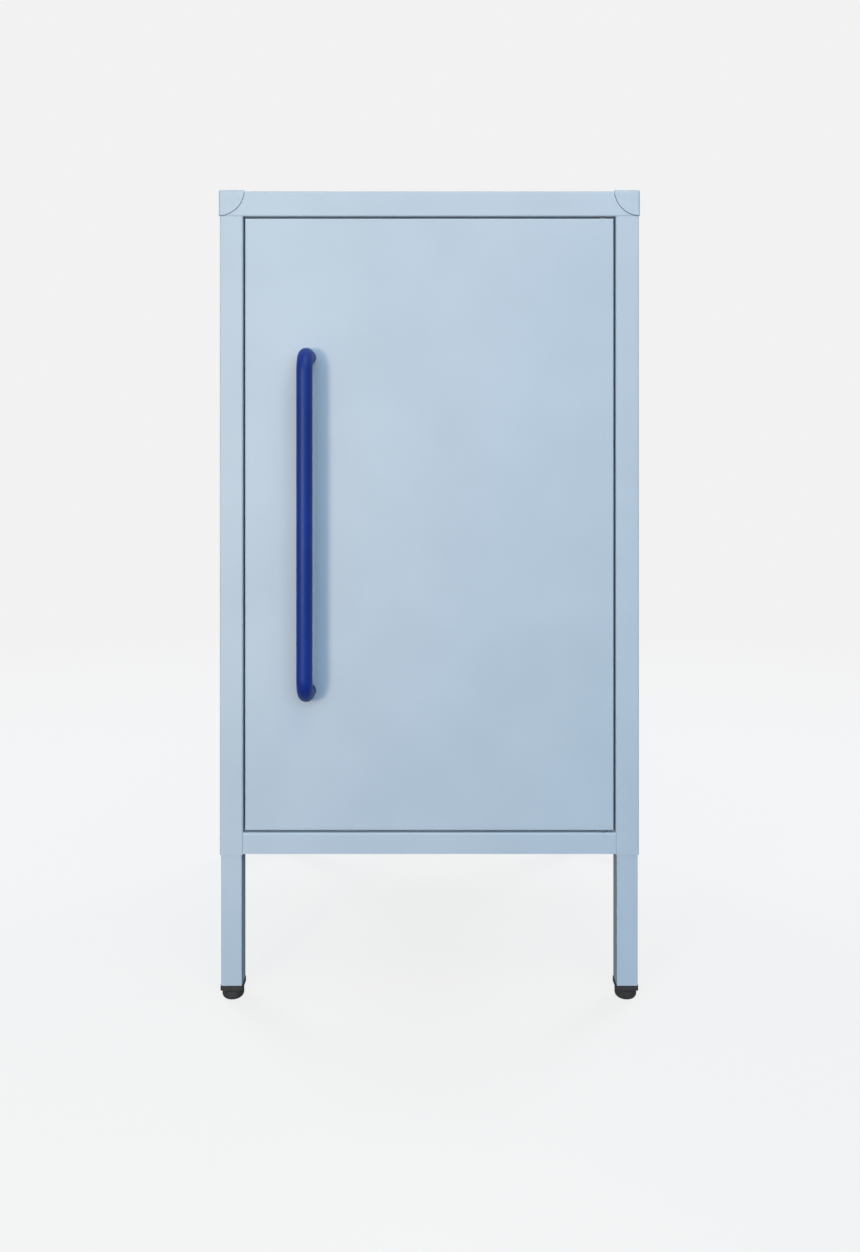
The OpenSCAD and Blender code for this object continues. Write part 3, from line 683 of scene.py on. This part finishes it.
class CABINET_OT_stage(bpy.types.Operator):
    """Make the camera, the lamps, the world and the floor"""
    bl_idname = "cabinet.stage"
    bl_label = "Studio"

    def execute(self, context):
        stage = context.scene.cabinet_stage
        make_camera()
        make_world(stage.background, stage.ambient, stage.ambient_level, stage.glossy_share)
        make_floor(floor_board(stage.background, stage.floor_shade, stage.floor_glow,
                               stage.glossy_share))
        light_panel("key_lamp", KEY_PLACE, KEY_SIDE, stage.key_watts, stage.key_colour)
        light_panel("top_lamp", TOP_PLACE, TOP_SIDE, stage.top_watts, stage.key_colour)
        light_panel("front_lamp", FRONT_PLACE, FRONT_SIDE, stage.front_watts, stage.front_colour,
                    reflected=False)
        x, y, z = REAR_PLACE
        for name, place in (("rear_left_lamp", (-x, y, z)), ("rear_right_lamp", (x, y, z))):
            light_panel(name, place, REAR_SIDE, stage.rear_watts, stage.rear_colour, reflected=False)
        return {"FINISHED"}


class CABINET_OT_sheet_metal(bpy.types.Operator):
    """Coat the folded sheets, the posts, the legs and the door"""
    bl_idname = "cabinet.sheet_metal"
    bl_label = "Sheet metal"

    def execute(self, context):
        paint_nodes(body_coat(), "top_panel", "back_panel", "bottom_tray", "stop_rail", "shelf",
                    "door_shell", "door_stiffener",
                    *named("side_panel_", "post_", "leg_front_", "leg_rear_"))
        return {"FINISHED"}


class CABINET_OT_corner_caps(bpy.types.Operator):
    """Colour the moulded corner caps"""
    bl_idname = "cabinet.corner_caps"
    bl_label = "Corner caps"

    def execute(self, context):
        paint_nodes(cap_plastic(), *named("corner_cap_"))
        return {"FINISHED"}


class CABINET_OT_spot_welds(bpy.types.Operator):
    """Mark the spot welds that hold the door's stiffener, and the side panels to the rear posts"""
    bl_idname = "cabinet.spot_welds"
    bl_label = "Spot welds"

    def execute(self, context):
        sizes = context.scene.cabinet_fasteners
        mark = new_object("weld_mark", weld_mark(sizes.weld_size))
        tree = parts_along_lines_group()
        for name, body, lines, axis in (
                ("spot_welds_door", "door", door_weld_lines(), (0, 1, 0)),
                ("spot_welds_cabinet", "cabinet", body_weld_lines(), (0, -1, 0))):
            welds = grown(name, lines_mesh(lines), tree, Part=mark, Pitch=sizes.weld_pitch, Axis=axis,
                          Material=body_coat())
            smooth_by_angle(welds, degrees=40)
            seat(welds, body, "body_paint")
        bpy.data.objects.remove(mark)
        return {"FINISHED"}


class CABINET_OT_handle(bpy.types.Operator):
    """Coat the bow handle"""
    bl_idname = "cabinet.handle"
    bl_label = "Handle"

    def execute(self, context):
        paint_nodes(handle_coat(), "handle")
        paint_nodes(zinc_plate(), "handle_inserts")
        return {"FINISHED"}


class CABINET_OT_feet(bpy.types.Operator):
    """Finish the feet and cut the threads of their studs"""
    bl_idname = "cabinet.feet"
    bl_label = "Levelling feet"

    def execute(self, context):
        sizes = context.scene.cabinet_fasteners
        paint_nodes(foot_plastic(), *named("foot_cap_", "glide_dome_"))
        tree = screw_thread_group()
        for node in named("glide_stud_"):
            low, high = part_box(node)
            length = high.z - low.z
            core = (high.x - low.x) / 2 - sizes.thread_depth
            turns = (length - STUD_PLAIN - 2 * STUD_CHAMFER) / sizes.thread_pitch
            stud = grown(node.replace("stud", "thread"), stud_core(core, length), tree,
                         Pitch=sizes.thread_pitch, Turns=turns, Core_Radius=core,
                         Depth=CREST_SHARE * sizes.thread_depth, Material=zinc_plate())
            middle = (low + high) / 2
            stud.data.transform(Matrix.Translation((middle.x, middle.y, low.z + STUD_PLAIN)))
            smooth_by_angle(stud, degrees=40)
            seat(stud, "glide_" + node.removeprefix("glide_stud_"), "zinc_steel", node)
        return {"FINISHED"}


class CABINET_OT_screws(bpy.types.Operator):
    """Make the pan-head screws of the legs, the handle and the catch"""
    bl_idname = "cabinet.screws"
    bl_label = "Screws"

    def execute(self, context):
        tree = parts_on_seats_group()
        for name, node, body, (seats, shank, length) in (
                ("screws_legs", "leg_screws", "cabinet", leg_screws()),
                ("screws_catch", "catch_screws", "cabinet", catch_screws()),
                ("screws_handle", "handle_screws", "door", handle_screws())):
            part = new_object("screw", pan_head_screw(shank, length))
            screws = grown(name, seats_mesh(seats), tree, Part=part, Material=zinc_plate())
            bpy.data.objects.remove(part)
            smooth_by_angle(screws, degrees=35)
            seat(screws, body, "zinc_steel", node)
        return {"FINISHED"}


class CABINET_OT_hinge(bpy.types.Operator):
    """Finish the hinge's plates, pins, bushes and washer"""
    bl_idname = "cabinet.hinge"
    bl_label = "Hinge"

    def execute(self, context):
        paint_nodes(zinc_plate(), *named("hinge_plate_", "hinge_pin_"))
        paint_nodes(bush_nylon(), "hinge_washer", *named("door_bush_"))
        return {"FINISHED"}


class CABINET_OT_catch(bpy.types.Operator):
    """Finish the magnetic catch, its strike plate, the rubber buffers and the shelf's clips"""
    bl_idname = "cabinet.catch"
    bl_label = "Catch, buffers and clips"

    def execute(self, context):
        paint_nodes(zinc_plate(), "catch_poles", "strike_plate")
        paint_nodes(natural_nylon(), "catch_housing", "shelf_clips")
        paint_nodes(sintered_magnet(), "catch_magnet")
        paint_nodes(soft_rubber(), "door_buffers")
        return {"FINISHED"}


class CABINET_PT_panel(bpy.types.Panel):
    """The cabinet's operators and settings"""
    bl_idname = "CABINET_PT_panel"
    bl_label = "Bedside cabinet"
    bl_space_type = "VIEW_3D"
    bl_region_type = "UI"
    bl_category = "Cabinet"

    def draw(self, context):
        layout = self.layout
        for name in GROUPS:
            group = getattr(context.scene, name)
            for setting in group.__annotations__:
                layout.prop(group, setting)
        for operator in OPERATORS:
            layout.operator(operator.bl_idname)


OPERATORS = (CABINET_OT_stage, CABINET_OT_sheet_metal, CABINET_OT_corner_caps, CABINET_OT_spot_welds,
             CABINET_OT_handle, CABINET_OT_feet, CABINET_OT_screws, CABINET_OT_hinge, CABINET_OT_catch)
GROUPS = {"cabinet_stage": CabinetStage, "cabinet_paint": CabinetPaint,
          "cabinet_fasteners": CabinetFasteners}


def register():
    """Makes the classes known and gives the scene their settings."""
    for cls in (*GROUPS.values(), *OPERATORS, CABINET_PT_panel):
        bpy.utils.register_class(cls)
    for name, cls in GROUPS.items():
        setattr(bpy.types.Scene, name, bpy.props.PointerProperty(type=cls))


def unregister():
    """Takes the settings and the classes away again."""
    for name in GROUPS:
        delattr(bpy.types.Scene, name)
    for cls in reversed((*GROUPS.values(), *OPERATORS, CABINET_PT_panel)):
        bpy.utils.unregister_class(cls)


# ------------------------------------------------------------------------------------ measures

def extent(names, pick=lambda co: True):
    """The extent, in the photograph's frame, of the vertices of these pieces that pick keeps."""
    spots = [to_photo(vertex.co) for name in names
             for vertex in bpy.data.objects[name].data.vertices if pick(vertex.co)]
    xs, ys = zip(*spots)
    return Extent(min(xs), max(xs), min(ys), max(ys))


def write_points():
    """Finds how far in x and y each thing spans in the photograph's frame, by its finished vertices."""
    # What shows, in front of these depths or between these heights: the front folds of the door and
    # the rail, the handle's straight, the legs under their posts, and the lower edge of a foot's lip.
    door_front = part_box("door_shell")[0].y + 2 * MM
    rail_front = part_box("bottom_tray")[0].y + 1 * MM
    low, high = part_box("handle")
    straight_low, straight_high = low.z + 25 * MM, high.z - 22 * MM
    leg_top, lip_edge_top = 130 * MM, 10.5 * MM
    whole = extent([piece.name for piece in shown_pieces()])
    door = extent(["door_shell"], lambda co: co.y < door_front)
    handle = extent(["handle"])
    bar = extent(["handle"], lambda co: straight_low < co.z < straight_high)
    left_leg = extent(["leg_front_left"], lambda co: co.z < leg_top)
    right_leg = extent(["leg_front_right"], lambda co: co.z < leg_top)
    rail = extent(["bottom_tray"], lambda co: co.y < rail_front)
    lip = extent(["foot_cap_front_left"], lambda co: co.z < lip_edge_top)


def stop_if_bare():
    """Raises an error if a CAD node has neither a material from here nor a piece that stands for it."""
    bare = sorted(set(NODES) - FINISHED)
    if bare:
        raise RuntimeError("no look was given to " + ", ".join(bare))


def main():
    """Dresses the cabinet, in order, and finds where its parts show in the photograph's frame."""
    register()
    bpy.context.scene.view_settings.view_transform = "Standard"
    bpy.ops.cabinet.stage()
    bpy.ops.cabinet.sheet_metal()
    bpy.ops.cabinet.corner_caps()
    bpy.ops.cabinet.spot_welds()
    bpy.ops.cabinet.handle()
    bpy.ops.cabinet.feet()
    bpy.ops.cabinet.screws()
    bpy.ops.cabinet.hinge()
    bpy.ops.cabinet.catch()
    stop_if_bare()
    bpy.context.view_layer.update()
    write_points()


if __name__ == "__main__":
    main()
